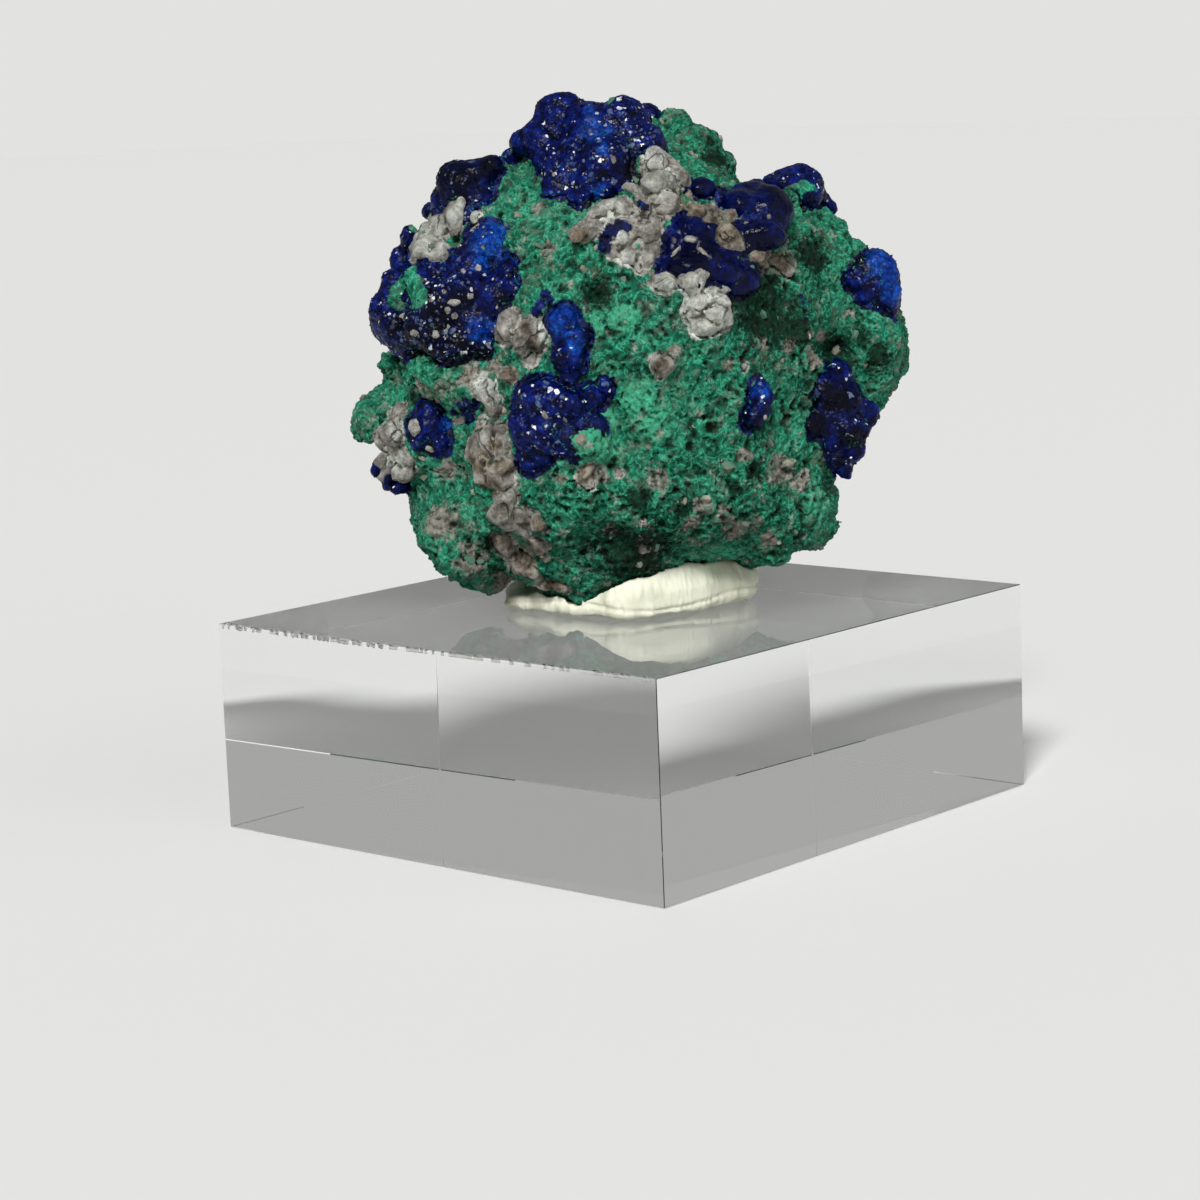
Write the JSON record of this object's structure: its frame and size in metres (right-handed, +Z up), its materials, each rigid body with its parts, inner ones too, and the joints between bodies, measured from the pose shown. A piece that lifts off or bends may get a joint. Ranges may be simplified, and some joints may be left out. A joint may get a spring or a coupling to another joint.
{
  "type": "azurite and malachite specimen",
  "caption": "Rounded azurite and malachite mineral specimen with pale quartz lumps, stuck with putty on a square clear acrylic display block.",
  "frame": {"origin": "centre of the acrylic block's underside, on the surface it stands on", "axes": "+Z up; the block's faces look along X and Y; the specimen's display side looks 41.2 degrees round from -Y towards +X"},
  "size_m": [0.055, 0.055, 0.0685],
  "materials": {
    "clear_acrylic": "polished",
    "mineral_tack": "matte",
    "malachite": "matte",
    "azurite": "satin",
    "pale_rock": "matte"
  },
  "bodies": {
    "root": {"acrylic_base": "clear_acrylic", "azurite_back_left": "azurite", "azurite_back_low": "azurite", "azurite_back_pair": "azurite", "azurite_back_right": "azurite", "azurite_back_upper": "azurite", "azurite_beside_cap": "azurite", "azurite_crown": "azurite", "azurite_double_ball": "azurite", "azurite_far_right": "azurite", "azurite_glossy_band": "azurite", "azurite_large_left": "azurite", "azurite_left_flank": "azurite", "azurite_left_shoulder": "azurite", "azurite_left_underside": "azurite", "azurite_lower_left": "azurite", "azurite_right_back": "azurite", "azurite_right_centre": "azurite", "azurite_right_lower": "azurite", "azurite_small_pair": "azurite", "malachite_matrix": "malachite", "mineral_tack": "mineral_tack", "quartz_back_chunk": "pale_rock", "quartz_back_vein": "pale_rock", "quartz_blocky_crystal": "pale_rock", "quartz_bright_lumps": "pale_rock", "quartz_cap": "pale_rock", "quartz_grey_ledge": "pale_rock", "quartz_left_low": "pale_rock", "quartz_left_wedge": "pale_rock", "quartz_oval_grain": "pale_rock", "quartz_rough_ball": "pale_rock", "quartz_shoulder_lumps": "pale_rock", "quartz_side_lump": "pale_rock", "quartz_tan_prism": "pale_rock", "quartz_upper_chunk": "pale_rock", "quartz_vein_foot": "pale_rock", "quartz_vein_top": "pale_rock"}
  },
  "joints": []
}
